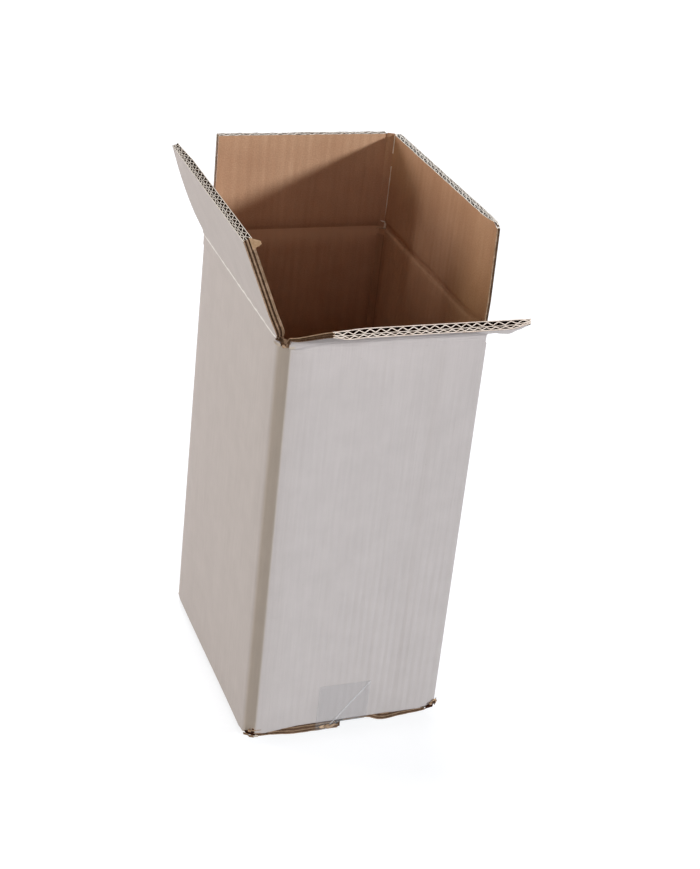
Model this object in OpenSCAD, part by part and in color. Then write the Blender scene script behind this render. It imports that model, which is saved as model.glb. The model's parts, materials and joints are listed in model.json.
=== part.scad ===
// Tall slotted shipping box of double-wall corrugated board, folded from one sheet.
// The base is closed and taped, and the four top flaps stand open.
// Millimetres, Z up, front towards -Y, origin at the middle of the underside.

/* [Box] */
// Outside width, across the front and back walls
box_w = 168; // [140:1:180]
// Outside depth, along the left and right walls
box_d = 222; // [200:1:280]
// Height of the left and right creases above the underside
crease_h = 368; // [250:1:420]
// Leg of the flat strip at each upright corner
corner_leg = 9; // [7:0.5:14]
// Outer radius of the folds along the base
fold_r = 2; // [1:0.5:3]

/* [Board] */
// Thickness of the board
board_t = 6.8; // [6:0.1:8]
// Thickness of each of the three flat liners
liner_t = 0.4; // [0.2:0.05:0.6]
// Thickness of the two wavy layers
flute_t = 0.5; // [0.3:0.05:0.8]
// Pitch of the fine waves, next to the outside liner
fine_pitch = 6.5; // [5:0.1:7]
// Height of the fine wavy layer
fine_h = 2.3; // [1.8:0.1:2.8]
// Pitch of the coarse waves, next to the inside liner
coarse_pitch = 7.9; // [7:0.1:9]
// Solid board left at the side edges of a flap
flap_edge = 1; // [0.5:0.1:3]

/* [Flaps] */
// Depth of the slots below the front and back creases
slot_overcut = 3; // [1:0.5:8]
// Gap along the middle when the left and right flaps are shut
top_seam = 9; // [1:0.5:12]
// Length of board crushed solid above each crease
crushed_len = 12; // [10:1:25]
// Room between shut layers of board
layer_gap = 0.3; // [0.2:0.05:1]
// Lean of the left flap, out from upright
left_lean = 20; // [0:1:80]
// Lean of the right flap, out from upright
right_lean = 0; // [0:1:80]
// Lean of the front flap, out from upright
front_lean = 60; // [0:1:80]
// Lean of the back flap, out from upright
back_lean = 1; // [0:1:80]

/* [Creases] */
// Radius of the ridge along each crease
ridge_r = 0.8; // [0.5:0.1:1.2]
// Clearance around the ridge and at the mitred crease
crease_gap = 0.22; // [0.15:0.01:0.4]

/* [Base and joint] */
// Gap along the middle of the base, between the outer base flaps
base_seam = 2; // [0.5:0.5:6]
// Width of the glue tab inside the front wall
tab_w = 33; // [25:1:45]
// Distance that the tab's free edge is shortened at each end
tab_taper = 14; // [4:1:30]
// Room between the ends of the tab and the creases
tab_inset = 12; // [10:1:30]
// Thickness of the glue line
glue_t = 0.3; // [0.1:0.05:0.5]
// Board that shows no glue along the edges of the tab
glue_inset = 4; // [2:0.5:8]
// Setback of the front wall's cut end from the right wall's face
joint_setback = 2; // [0:0.5:4]

/* [Tape] */
// Width of the tape
tape_w = 45; // [36:1:75]
// Thickness of the tape
tape_t = 0.12; // [0.08:0.01:0.2]
// Height of the tape on the front and back walls
tape_rise = 34; // [20:1:80]

/* [Hidden] */
$fn = 48;

LEFT = -90;
RIGHT = 90;
FRONT = 0;
BACK = 180;

// Half sizes of the box
half_w = box_w / 2;
half_d = box_d / 2;
// A shut outer flap lies one board above a shut inner flap
layer_step = board_t + layer_gap;
// Creases of the front and back flaps, at the top and at the base
low_crease_h = crease_h - layer_step;
base_crease_h = layer_step;
// Foot of the slots between the top flaps
slot_h = low_crease_h - slot_overcut;
// The sheet has straight ends, so an inner flap is longer by the step
outer_flap_len = half_w - top_seam / 2;
inner_flap_len = outer_flap_len + layer_step;
base_outer_len = half_w - base_seam / 2;
base_inner_len = base_outer_len + layer_step;
// Leg of a corner strip on the inside of the board
inner_leg = corner_leg - board_t * (2 - sqrt(2));
// Board cut away at each side of a flap, so that a shut flap clears the inside of the corners
flap_margin = board_t + inner_leg + layer_gap;
// Flap widths along their creases
side_flap_w = box_d - 2 * flap_margin;
end_flap_w = box_w - 2 * flap_margin;
// Outer face of the glue tab, and its free edge
tab_y = -half_d + board_t + glue_t;
tab_x = half_w - board_t - tab_w;
// Where the fold at the glued corner ends and the tab starts
tab_root_x = half_w - board_t - inner_leg;
// Share of a wave that is flat at its crest
crest_share = 0.35;
// Spare reach of cutting shapes
spare = 1;

// Moves a wall or flap, drawn facing -Y with its crease along X, to a side of the box
module on_side(turn, reach, h) {
    rotate([0, 0, turn])
        translate([0, -reach, h])
            children();
}

// Sweeps a profile, drawn as inward distance against height, along X
module along_crease(run) {
    translate([-run / 2, 0, 0])
        rotate([90, 0, 90])
            linear_extrude(run)
                children();
}

// Upright walls in plan: one strip from the front wall's cut end round to the glued corner
module wall_strip() {
    w = half_w;
    d = half_d;
    iw = half_w - board_t;
    id = half_d - board_t;
    outside = [
        [w - joint_setback, -d], [-w + corner_leg, -d], [-w, -d + corner_leg],
        [-w, d - corner_leg], [-w + corner_leg, d], [w - corner_leg, d],
        [w, d - corner_leg], [w, tab_y + corner_leg], [w - corner_leg, tab_y],
        [tab_root_x, tab_y]
    ];
    inside = [
        [tab_root_x, tab_y + board_t], [iw, tab_y + board_t + inner_leg],
        [iw, id - inner_leg], [iw - inner_leg, id], [-iw + inner_leg, id],
        [-iw, id - inner_leg], [-iw, -id + inner_leg], [-iw + inner_leg, -id],
        [w - joint_setback, -id]
    ];
    polygon(concat(outside, inside));
}

// Glue tab behind the front wall, with its ends cut at a slant, and its glue
module glue_tab() {
    low = base_crease_h + board_t + tab_inset;
    high = slot_h - tab_inset;
    translate([0, tab_y + board_t, 0])
        rotate([90, 0, 0])
            linear_extrude(board_t)
                polygon([
                    [tab_root_x, low], [tab_x, low + tab_taper],
                    [tab_x, high - tab_taper], [tab_root_x, high]
                ]);
    glue_low = low + tab_taper + glue_inset;
    glue_high = high - tab_taper - glue_inset;
    translate([tab_x + glue_inset, tab_y - glue_t, glue_low])
        cube([tab_root_x - tab_x - 2 * glue_inset, glue_t, glue_high - glue_low]);
}

// Top of one wall between its slots, up to the crease
module wall_head(run, rise) {
    along_crease(run)
        translate([0, -rise])
            square([board_t, rise]);
}

// Room taken from the top of a wall: a mitre for its flap and a groove for the flap's ridge
module crease_cut(run) {
    along_crease(run) {
        polygon([
            [-spare, spare - crease_gap], [board_t + spare, -board_t - spare - crease_gap],
            [board_t + spare, spare], [-spare, spare]
        ]);
        circle(ridge_r + crease_gap);
    }
}

// One flap of the base with the fold that joins it to its wall
module base_flap(run, length, foot) {
    along_crease(run)
        difference() {
            union() {
                square([board_t, foot]);
                square([length, board_t]);
            }
            difference() {
                translate([-spare, -spare])
                    square(fold_r + spare);
                translate([fold_r, fold_r])
                    circle(fold_r);
            }
        }
}

// Walls, glue tab and base flaps, which are one folded sheet
module carton() {
    fold_foot = board_t + spare;
    color("whitesmoke")
        difference() {
            union() {
                translate([0, 0, base_crease_h + fold_r])
                    linear_extrude(slot_h - base_crease_h - fold_r)
                        wall_strip();
                glue_tab();
                for (side = [LEFT, RIGHT]) {
                    on_side(side, half_w, crease_h)
                        wall_head(side_flap_w, crease_h - slot_h);
                    on_side(side, half_w, 0)
                        base_flap(side_flap_w, base_outer_len, base_crease_h + fold_foot);
                }
                for (side = [FRONT, BACK]) {
                    on_side(side, half_d, low_crease_h)
                        wall_head(end_flap_w, low_crease_h - slot_h);
                    on_side(side, half_d, base_crease_h)
                        base_flap(end_flap_w, base_inner_len, fold_foot);
                }
            }
            for (side = [LEFT, RIGHT])
                on_side(side, half_w, crease_h)
                    crease_cut(side_flap_w);
            for (side = [FRONT, BACK])
                on_side(side, half_d, low_crease_h)
                    crease_cut(end_flap_w);
            translate([-tape_w / 2, -half_d, -spare])
                cube([tape_w, box_d, spare + tape_t]);
        }
}

// Row of open waves in one layer: trapezia that stand on its two liners in turn
module wave_cells(run, pitch, low, high) {
    half = pitch / 2;
    base = (half - flute_t) / (1 + crest_share);
    crest = base * crest_share;
    last = floor((run - 2 * flap_edge - 2 * base) / half);
    for (i = [0:last]) {
        x = (i - last / 2) * half;
        wide = i % 2 == 0 ? high : low;
        narrow = i % 2 == 0 ? low + flute_t : high - flute_t;
        polygon([[x - base, wide], [x + base, wide], [x + crest, narrow], [x - crest, narrow]]);
    }
}

// Section of the board across its waves, outside face at zero
module board_section(run) {
    fine_top = liner_t + fine_h;
    difference() {
        translate([-run / 2, 0])
            square([run, board_t]);
        wave_cells(run, fine_pitch, liner_t, fine_top);
        wave_cells(run, coarse_pitch, fine_top + liner_t, board_t - liner_t);
    }
}

// One top flap: crease ridge, crushed root and open waves up to its cut edge
module flap(run, length) {
    along_crease(run) {
        polygon([[0, crease_gap], [board_t, board_t + crease_gap], [board_t, crushed_len], [0, crushed_len]]);
        circle(ridge_r);
    }
    translate([0, 0, crushed_len])
        linear_extrude(length - crushed_len)
            board_section(run);
}

module left_flap() {
    color("white")
        on_side(LEFT, half_w, crease_h)
            rotate([left_lean, 0, 0])
                flap(side_flap_w, outer_flap_len);
}

module right_flap() {
    color("white")
        on_side(RIGHT, half_w, crease_h)
            rotate([right_lean, 0, 0])
                flap(side_flap_w, outer_flap_len);
}

module front_flap() {
    color("white")
        on_side(FRONT, half_d, low_crease_h)
            rotate([front_lean, 0, 0])
                flap(end_flap_w, inner_flap_len);
}

module back_flap() {
    color("white")
        on_side(BACK, half_d, low_crease_h)
            rotate([back_lean, 0, 0])
                flap(end_flap_w, inner_flap_len);
}

// Tape along the base seam, carried up the front and back walls
module bottom_tape() {
    flap_end = half_d - flap_margin;
    bend_h = base_crease_h + fold_r / 3;
    top_h = base_crease_h + tape_rise;
    face = half_d + tape_t;
    color("gainsboro", 0.5)
        along_crease(tape_w)
            polygon([
                [-flap_end, 0], [flap_end, 0], [face, bend_h], [face, top_h],
                [half_d, top_h], [half_d, bend_h], [flap_end, tape_t],
                [-flap_end, tape_t], [-half_d, bend_h], [-half_d, top_h],
                [-face, top_h], [-face, bend_h]
            ]);
}

carton();
left_flap();
right_flap();
front_flap();
back_flap();
bottom_tape();
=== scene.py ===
# %% [markdown]
# # A tall shipping box in double-wall board
# The real box is one sheet of corrugated board: two wavy papers glued between three flat ones, white
# outside and brown inside. It is creased, folded into a tube, glued along a tab and taped under its base.
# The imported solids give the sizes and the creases. This lesson dresses them: the walls and base as one
# folded sheet, the four flaps as boards with real waves between their papers, and the tape as a film.

# %% Load the frame
import json
import math

import bmesh
import bpy
from mathutils import Matrix, Vector, noise
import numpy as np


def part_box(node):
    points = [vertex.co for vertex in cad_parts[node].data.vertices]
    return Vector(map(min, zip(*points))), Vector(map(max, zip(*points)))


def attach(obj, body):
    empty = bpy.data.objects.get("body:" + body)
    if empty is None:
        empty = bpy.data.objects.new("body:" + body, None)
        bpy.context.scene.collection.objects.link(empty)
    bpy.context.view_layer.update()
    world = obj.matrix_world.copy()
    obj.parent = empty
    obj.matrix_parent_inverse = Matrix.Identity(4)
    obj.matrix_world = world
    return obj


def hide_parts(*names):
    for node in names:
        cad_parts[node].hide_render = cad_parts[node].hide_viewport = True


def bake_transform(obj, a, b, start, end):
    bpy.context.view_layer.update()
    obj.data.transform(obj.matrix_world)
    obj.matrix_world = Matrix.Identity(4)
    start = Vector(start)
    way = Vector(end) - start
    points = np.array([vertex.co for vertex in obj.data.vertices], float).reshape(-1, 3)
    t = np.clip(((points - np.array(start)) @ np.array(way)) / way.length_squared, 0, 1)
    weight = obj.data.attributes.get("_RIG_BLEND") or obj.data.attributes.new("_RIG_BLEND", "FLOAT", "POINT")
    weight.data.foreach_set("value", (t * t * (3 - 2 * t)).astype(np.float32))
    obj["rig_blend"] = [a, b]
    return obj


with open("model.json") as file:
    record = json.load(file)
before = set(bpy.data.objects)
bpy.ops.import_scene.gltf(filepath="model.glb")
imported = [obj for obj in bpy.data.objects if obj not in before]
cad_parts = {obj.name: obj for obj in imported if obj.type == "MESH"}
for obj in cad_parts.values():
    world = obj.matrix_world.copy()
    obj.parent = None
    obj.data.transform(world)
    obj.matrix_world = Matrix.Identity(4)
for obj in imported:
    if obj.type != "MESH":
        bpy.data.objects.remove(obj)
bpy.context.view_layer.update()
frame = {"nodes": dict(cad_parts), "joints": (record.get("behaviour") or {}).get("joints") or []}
MM = 0.001
print("frame nodes:", sorted(frame["nodes"]))

# %% [markdown]
# Everything is sized from the frame. Each hinge of the frame lies on a crease, at the outside face of its
# wall, so the four hinges give the box's width, depth and crease heights. The board's make-up is what
# double-wall board has: fine waves under the white paper, and coarse waves under the brown one.

# %% Sizes of the box and its board
crease = {j["child"]: Vector(j["pos_m"]) for j in frame["joints"]}
half_w = crease["right_flap"].x
half_d = crease["back_flap"].y
side_crease_h = crease["left_flap"].z
end_crease_h = crease["front_flap"].z
side_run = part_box("left_flap")[1][1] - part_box("left_flap")[0][1]
end_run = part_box("front_flap")[1][0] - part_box("front_flap")[0][0]
flap_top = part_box("right_flap")[1][2]

board_t = 6.8 * MM
liner_t = 0.65 * MM
middle_t = 0.5 * MM
wave_t = 0.7 * MM
fine_pitch = 6.5 * MM
fine_h = 2.0 * MM
coarse_pitch = 7.9 * MM
corner_leg = 9 * MM
layer_step = side_crease_h - end_crease_h
slot_h = end_crease_h - 3 * MM
print("box", round(2 * half_w, 4), "x", round(2 * half_d, 4), "creases", side_crease_h, end_crease_h)

# %% [markdown]
# A wall or flap is drawn facing the viewer, with X along its crease, Y into the box and Z up, and is then
# turned to its side. The walls follow each other round the box, so `run_start` lets the waves that show
# through the papers carry on from one wall to the next. `smooth` is the soft step that shapes most of
# the wear on this box: 0 before the start, 1 after the end, and no corner at either.

# %% The four sides
SIDES = {"front": 0, "right": 90, "back": 180, "left": -90}
ENDS = ("front", "back")
run_start = {"front": 0.0, "left": -(half_w + half_d), "back": -2 * (half_w + half_d),
             "right": -3 * (half_w + half_d)}


def to_side(side):
    """Matrix from a panel's own axes to the box."""
    turn = Matrix.Rotation(math.radians(SIDES[side]), 4, "Z")
    return turn @ Matrix.Translation((0, -half_d if side in ENDS else -half_w, 0))


def smooth(t):
    t = max(0.0, min(1.0, t))
    return t * t * (3 - 2 * t)


def wobble(a, b, seed):
    """Slow, repeatable unevenness between -1 and 1."""
    return noise.noise(Vector((a, b, seed)))


print("sides:", ", ".join(SIDES))

# %% [markdown]
# ## Paper finishes
# Three papers show on the box. The white liner is smooth and faintly mottled, and the fine waves show
# through it as shallow stripes. The brown liner is rougher, with fibres and darker streaks along the
# waves. The cut edges show raw paper, pale or crushed dark. All of them are built from noise and waves,
# and the liners read the sheet's own UV map, which is the flat sheet in metres: U across the waves, V
# along them.

# %% Node helpers
def new_material(name):
    mat = bpy.data.materials.new(name)
    mat.use_nodes = True
    nodes = mat.node_tree.nodes
    nodes.clear()
    out = nodes.new("ShaderNodeOutputMaterial")
    shader = nodes.new("ShaderNodeBsdfPrincipled")
    mat.node_tree.links.new(shader.outputs[0], out.inputs[0])
    return mat, mat.node_tree, shader


def wire(tree, kind, settings, inputs):
    """Adds a node, sets its options and feeds its inputs with values or other sockets."""
    node = tree.nodes.new(kind)
    for key, value in settings.items():
        setattr(node, key, value)
    for key, value in inputs.items():
        if isinstance(value, bpy.types.NodeSocket):
            tree.links.new(value, node.inputs[key])
        else:
            node.inputs[key].default_value = value
    return node


def calc(tree, operation, a, b=0.0, c=0.0):
    return wire(tree, "ShaderNodeMath", {"operation": operation}, {0: a, 1: b, 2: c}).outputs[0]


def grain(tree, vector, scale, detail=2.0, rough=0.5):
    settings = {"Vector": vector, "Scale": scale, "Detail": detail, "Roughness": rough}
    return wire(tree, "ShaderNodeTexNoise", {}, settings).outputs["Fac"]


def between(tree, value, low, high, to_low=0.0, to_high=1.0):
    node = wire(tree, "ShaderNodeMapRange", {"interpolation_type": "SMOOTHSTEP"},
                {0: value, 1: low, 2: high, 3: to_low, 4: to_high})
    return node.outputs[0]


def tint(tree, fac, first, second, way="MIX"):
    """Colour between two ends, each of them a colour or the output of another node."""
    first, second = (c if isinstance(c, bpy.types.NodeSocket) else (*c, 1) for c in (first, second))
    mix = wire(tree, "ShaderNodeMix", {"data_type": "RGBA", "blend_type": way}, {0: fac, 6: first, 7: second})
    return mix.outputs[2]


print("node helpers ready")

# %% [markdown]
# Three more helpers serve the papers' relief: a bump from a real height, the waves that press through a
# paper, and the single axes of a coordinate.

# %% Relief helpers
def raise_by(tree, shader, height):
    """Bump from a height in metres."""
    bump = wire(tree, "ShaderNodeBump", {}, {"Strength": 1.0, "Distance": 1.0, "Height": height})
    tree.links.new(bump.outputs[0], shader.inputs["Normal"])


def waves_through(tree, across, pitch):
    """Height between -1 and 1 of the waves that show through a paper."""
    return calc(tree, "SINE", calc(tree, "MULTIPLY", across, 2 * math.pi / pitch))


def axes_of(tree, socket):
    return wire(tree, "ShaderNodeSeparateXYZ", {}, {"Vector": socket}).outputs


print("relief helpers ready")

# %% [markdown]
# The white liner is nearly plain, so its detail has to stay quiet: a slow mottle, a fine speckle, a rare
# brown fleck, and the stripes. On the real box the stripes are strongest low down on the right of the
# front, where the board was pressed, so a mask on the front's own X and Z raises them there. Painted shade
# tints the edges of the corner strips browner, and a painted highlight lays a broken near-white line along
# the left crease.

# %% White liner
def white_liner():
    mat, tree, shader = new_material("white_liner")
    place = tree.nodes.new("ShaderNodeTexCoord")
    flat = place.outputs["UV"]
    u, v, _ = axes_of(tree, flat)
    x, y, z = axes_of(tree, place.outputs["Object"])
    mottle = grain(tree, flat, 45.0, 3.0, 0.6)
    speckle = grain(tree, flat, 1400.0, 2.0, 0.6)
    drawn = wire(tree, "ShaderNodeMapping", {}, {"Vector": flat, "Scale": (1.0, 0.04, 1.0)})
    streak = grain(tree, drawn.outputs[0], 420.0, 2.0, 0.6)
    tone = calc(tree, "MULTIPLY_ADD", speckle, 0.3, calc(tree, "MULTIPLY", mottle, 0.4))
    tone = calc(tree, "MULTIPLY_ADD", streak, 0.3, tone)
    paper = tint(tree, between(tree, tone, 0.3, 0.7), (0.55, 0.503, 0.488), (0.61, 0.558, 0.542))
    # Painted shade: the edges of the corner strips on the left and back walls are tinted browner and a little
    # darker.
    reach = calc(tree, "ADD", calc(tree, "ABSOLUTE", x), calc(tree, "ABSOLUTE", y))
    painted_corner_shade = between(tree, reach, half_w + half_d - corner_leg - 2.5 * MM, half_w + half_d - corner_leg)
    folded = calc(tree, "MAXIMUM", calc(tree, "LESS_THAN", x, 0.0), calc(tree, "GREATER_THAN", y, 0.0))
    folded = calc(tree, "MULTIPLY", folded, calc(tree, "LESS_THAN", z, end_crease_h + 4 * MM))
    painted_corner_shade = calc(tree, "MULTIPLY", painted_corner_shade, folded)
    worn = tint(tree, painted_corner_shade, paper, (1.0, 0.94, 0.81), "MULTIPLY")
    fleck = between(tree, grain(tree, flat, 420.0, 1.0, 0.4), 0.77, 0.85, 0.0, 0.3)
    flecked = tint(tree, fleck, worn, (0.36, 0.29, 0.23))
    bent = calc(tree, "GREATER_THAN", u, -half_w - 2 * half_d)
    drift = calc(tree, "MULTIPLY_ADD", grain(tree, flat, 120.0, 1.0), 1.6 * MM, v)
    from_fold = calc(tree, "ABSOLUTE", calc(tree, "SUBTRACT", drift, side_crease_h + 0.8 * MM))
    beside = calc(tree, "MULTIPLY", bent, calc(tree, "LESS_THAN", u, -half_w))
    # Painted highlight: a broken near-white line along the left crease, for the light on its ridge.
    painted_crease_highlight = calc(tree, "MULTIPLY", between(tree, from_fold, 1.8 * MM, 0.8 * MM), beside)
    broken_up = between(tree, grain(tree, flat, 60.0, 1.0), 0.3, 0.55, 0.6, 1.0)
    painted_crease_highlight = calc(tree, "MULTIPLY", painted_crease_highlight, broken_up)
    tree.links.new(tint(tree, painted_crease_highlight, flecked, (0.92, 0.89, 0.86)), shader.inputs["Base Color"])
    shader.inputs["Roughness"].default_value = 0.7
    shader.inputs["Specular IOR Level"].default_value = 0.15

    low = between(tree, z, 0.24, 0.10)
    right = between(tree, x, -0.05, 0.02)
    pressed = calc(tree, "MULTIPLY", low, right)
    patchy = between(tree, grain(tree, flat, 14.0, 2.0), 0.40, 0.68)
    depth = calc(tree, "MULTIPLY_ADD", pressed, 1.2, calc(tree, "MULTIPLY_ADD", patchy, 0.5, 0.2))
    stripes = calc(tree, "MULTIPLY", waves_through(tree, u, fine_pitch), depth)
    relief = calc(tree, "MULTIPLY_ADD", streak, 0.00012, calc(tree, "MULTIPLY", stripes, 0.00004))
    folded_back = calc(tree, "MULTIPLY", between(tree, from_fold, 10 * MM, 3 * MM), bent)
    level = wire(tree, "ShaderNodeMapping", {}, {"Vector": flat, "Scale": (0.1, 1.0, 1.0)})
    wrinkle = calc(tree, "MULTIPLY", grain(tree, level.outputs[0], 520.0, 2.0, 0.5), folded_back)
    relief = calc(tree, "MULTIPLY_ADD", wrinkle, 0.00045, relief)
    raise_by(tree, shader, calc(tree, "MULTIPLY_ADD", speckle, 0.00003, relief))
    return mat


white = white_liner()
print("finish:", white.name)

# %% [markdown]
# The brown liner is unbleached paper: mottled, with faint streaks along the waves. The coarse waves press
# through it as soft ribs, stronger in some places than in others. At the back the paper is painted with
# shade above the fold and painted lighter below it, and painted shade darkens the folds of the corner strip
# beside it and the corner itself.

# %% Brown liner
def brown_liner():
    mat, tree, shader = new_material("brown_liner")
    place = tree.nodes.new("ShaderNodeTexCoord")
    flat = place.outputs["UV"]
    u, v, _ = axes_of(tree, flat)
    drawn = wire(tree, "ShaderNodeMapping", {}, {"Vector": flat, "Scale": (1.0, 0.06, 1.0)})
    streak = grain(tree, drawn.outputs[0], 210.0, 3.0, 0.6)
    fibre = grain(tree, flat, 900.0, 3.0, 0.6)
    cloud = grain(tree, flat, 22.0, 3.0, 0.55)
    tone = calc(tree, "MULTIPLY_ADD", fibre, 0.45, calc(tree, "MULTIPLY", streak, 0.22))
    tone = calc(tree, "MULTIPLY_ADD", cloud, 0.33, tone)
    from_back = calc(tree, "ABSOLUTE", calc(tree, "ADD", u, 2 * (half_w + half_d)))
    at_back = calc(tree, "LESS_THAN", from_back, half_w - 4 * MM)
    fold = calc(tree, "SUBTRACT", v, side_crease_h)
    # Painted light and shade at the back fold: the paper is paler below the fold and darker above it.
    lip = between(tree, fold, -22 * MM, -2 * MM, 0.0, 0.2)
    lip = calc(tree, "MULTIPLY", lip, calc(tree, "LESS_THAN", fold, 0.0))
    tone = calc(tree, "MULTIPLY_ADD", lip, at_back, tone)
    paper = tint(tree, between(tree, tone, 0.30, 0.72), (0.452, 0.254, 0.151), (0.612, 0.385, 0.246))
    painted_fold_shade = between(tree, fold, 13 * MM, 0.5 * MM, 0.0, 0.4)
    painted_fold_shade = calc(tree, "MULTIPLY", painted_fold_shade, calc(tree, "GREATER_THAN", fold, 0.0))
    painted_fold_shade = calc(tree, "MULTIPLY", painted_fold_shade, at_back)
    # Painted shade: darker along the folds of the back corner strip and towards the corner between back and
    # right walls.
    from_corner = calc(tree, "ABSOLUTE", calc(tree, "ADD", u, 3 * half_w + 2 * half_d))
    from_line = calc(tree, "ABSOLUTE", calc(tree, "SUBTRACT", from_corner, corner_leg))
    line = between(tree, from_line, 2.4 * MM, 0.6 * MM, 0.0, 0.45)
    corner = calc(tree, "ADD", line, between(tree, from_corner, 20 * MM, 6 * MM, 0.0, 0.4))
    corner = calc(tree, "MULTIPLY", corner, calc(tree, "LESS_THAN", v, end_crease_h - 2 * MM))
    # The painted shade above darkens the paper here.
    creased = tint(tree, calc(tree, "MAXIMUM", painted_fold_shade, corner), paper, (0.55, 0.50, 0.48), "MULTIPLY")
    tree.links.new(creased, shader.inputs["Base Color"])
    shader.inputs["Roughness"].default_value = 0.75
    shader.inputs["Specular IOR Level"].default_value = 0.08
    patchy = between(tree, cloud, 0.35, 0.7, 0.7, 2.0)
    ribs = calc(tree, "MULTIPLY", waves_through(tree, u, coarse_pitch), patchy)
    relief = calc(tree, "MULTIPLY_ADD", fibre, 0.00006, calc(tree, "MULTIPLY", ribs, 0.00007))
    raise_by(tree, shader, relief)
    return mat


brown = brown_liner()
print("finish:", brown.name)

# %% [markdown]
# Raw paper shows at every cut edge and on the waves. It is paler than the brown liner at a clean cut,
# because a knife opens fresh fibres, darker where it was crushed, and blotchy everywhere. The waves'
# paper is painted near-black as shade, one copy is blacker still as deeper shade, and one paler copy is
# painted light for edges that face the light.

# %% Raw paper
def raw_paper(name, dark, light):
    mat, tree, shader = new_material(name)
    spot = tree.nodes.new("ShaderNodeTexCoord").outputs["Object"]
    blotch = grain(tree, spot, 260.0, 3.0, 0.6)
    fibre = grain(tree, spot, 1500.0, 2.0, 0.6)
    tone = calc(tree, "MULTIPLY_ADD", fibre, 0.4, calc(tree, "MULTIPLY", blotch, 0.6))
    tree.links.new(tint(tree, between(tree, tone, 0.3, 0.7), dark, light), shader.inputs["Base Color"])
    shader.inputs["Roughness"].default_value = 0.8
    shader.inputs["Specular IOR Level"].default_value = 0.0
    raise_by(tree, shader, calc(tree, "MULTIPLY", tone, 0.00008))
    return mat


cut_edge = raw_paper("cut_edge", (0.26, 0.165, 0.10), (0.50, 0.35, 0.24))
# Painted shade: the waves' paper is near-black, standing in for the shade between the waves.
shaded_wave_paper = raw_paper("shaded_wave_paper", (0.06, 0.025, 0.012), (0.13, 0.063, 0.034))
crushed_paper = raw_paper("crushed_paper", (0.055, 0.03, 0.018), (0.165, 0.098, 0.062))
# Painted shade: a blacker paper for the gaps and recesses where shade falls deepest.
painted_shade_black = raw_paper("painted_shade_black", (0.026, 0.008, 0.004), (0.055, 0.021, 0.011))
torn_paper = raw_paper("torn_paper", (0.50, 0.31, 0.175), (0.72, 0.50, 0.32))
pale_edge = raw_paper("pale_edge", (0.70, 0.56, 0.46), (0.90, 0.78, 0.69))
# Painted light: a brighter copy of the pale edge, for cut edges that face the light.
painted_light_edge = raw_paper("painted_light_edge", (0.86, 0.76, 0.67), (0.97, 0.92, 0.85))
raw_papers = (cut_edge, shaded_wave_paper, crushed_paper, painted_shade_black, torn_paper, pale_edge, painted_light_edge)
print("finishes:", *(paper.name for paper in raw_papers))

# %% [markdown]
# ## The folded sheet
# The walls are drawn in plan as one chain of points, from the cut end of the front wall, round the box,
# to the free edge of the glue tab. Extruding the chain upwards gives the outside face of the sheet.
# The base flaps are spun off its lower edges, as a press folds them, and a Solidify modifier then gives
# the sheet its thickness: white outside, brown inside, raw paper at the rim.

# %% Plan of the walls
glue_t = 0.3 * MM
joint_setback = 2 * MM
tab_root_x = half_w - corner_leg
tab_edge_x = half_w - board_t - 33 * MM
tab_face_y = -half_d + board_t + glue_t
fold_foot = layer_step + 2 * MM


def half_run(side):
    return (end_run if side in ENDS else side_run) / 2


def wall_sink(side, x):
    """How far a wall falls back beside a corner strip, or stands out over the glue tab."""
    border = (half_w if side in ENDS else half_d) - corner_leg
    if side == "front" and x > 0:
        return -0.35 * MM * smooth((x - tab_edge_x + 1.5 * MM) / (3 * MM))
    return 1.0 * MM * (1 - smooth((border - abs(x)) / (9 * MM)))


def panel_columns(side):
    """Places of a wall's points along its own X, from one corner strip to the next."""
    reach = half_w if side in ENDS else half_d
    flap = half_run(side)
    near = flap - 6 * MM
    columns = [near - 2 * near * i / 10 for i in range(11)] + [flap, -flap]
    columns += [reach - joint_setback if side == "front" else reach - corner_leg]
    if side == "right":
        columns = [x for x in columns if x > -near]
        columns += [-reach + board_t + glue_t + corner_leg]
    else:
        columns += [corner_leg - reach]
    if side == "front":
        columns += [tab_edge_x + 1.5 * MM, tab_edge_x - 1.5 * MM]
    return sorted(columns, reverse=True)


print("front wall columns:", [round(x / MM, 1) for x in panel_columns("front")])

# %% [markdown]
# The chain is the sheet's plan. The tab behind the front wall closes the tube, and presses the front wall
# out a little, which shows as a faint upright line on the real box.

# %% Chain of points
def wall_chain(bm):
    along = bm.verts.layers.float.new("along")
    chain = []
    for side in ("front", "left", "back", "right"):
        for x in panel_columns(side):
            vert = bm.verts.new(to_side(side) @ Vector((x, wall_sink(side, x), fold_foot)))
            vert[along] = x + run_start[side]
            chain.append(vert)
    for x in (tab_root_x, tab_root_x - 6 * MM, tab_edge_x):
        vert = bm.verts.new((x, tab_face_y, fold_foot))
        vert[along] = run_start["right"] - half_d - (half_w - x)
        chain.append(vert)
    return join_points(bm, chain)


def join_points(bm, chain):
    """Row of edges through a chain of points."""
    return [bm.edges.new(pair) for pair in zip(chain, chain[1:])]


def grow(bm, edges, move):
    """Extrudes a row of edges by a move, and gives the new row."""
    geom = bmesh.ops.extrude_edge_only(bm, edges=edges)["geom"]
    verts = [g for g in geom if isinstance(g, bmesh.types.BMVert)]
    fresh = set(verts)
    bmesh.ops.translate(bm, verts=verts, vec=move)
    row = [g for g in geom if isinstance(g, bmesh.types.BMEdge) and fresh.issuperset(g.verts)]
    return row, verts


print("tab reaches from", round(tab_root_x, 4), "to", round(tab_edge_x, 4))

# %% [markdown]
# A base flap starts as the lower edge of its wall. `spin` turns that edge round the fold, and the flap
# then grows inwards. The outer pair hangs on folds as high as the inner pair's, so it sags under the
# inner flaps until it lies on the floor. Its front edges stand proud and show under the front wall.

# %% Base flaps
outer_fold_r = 2.5 * MM
inner_fold_r = 2.0 * MM


def outer_sag(d):
    """Height of an outer base flap's underside, at a distance from its wall."""
    return 6.5 * MM * (1 - smooth((d - 2 * MM) / (44 * MM)))


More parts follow.
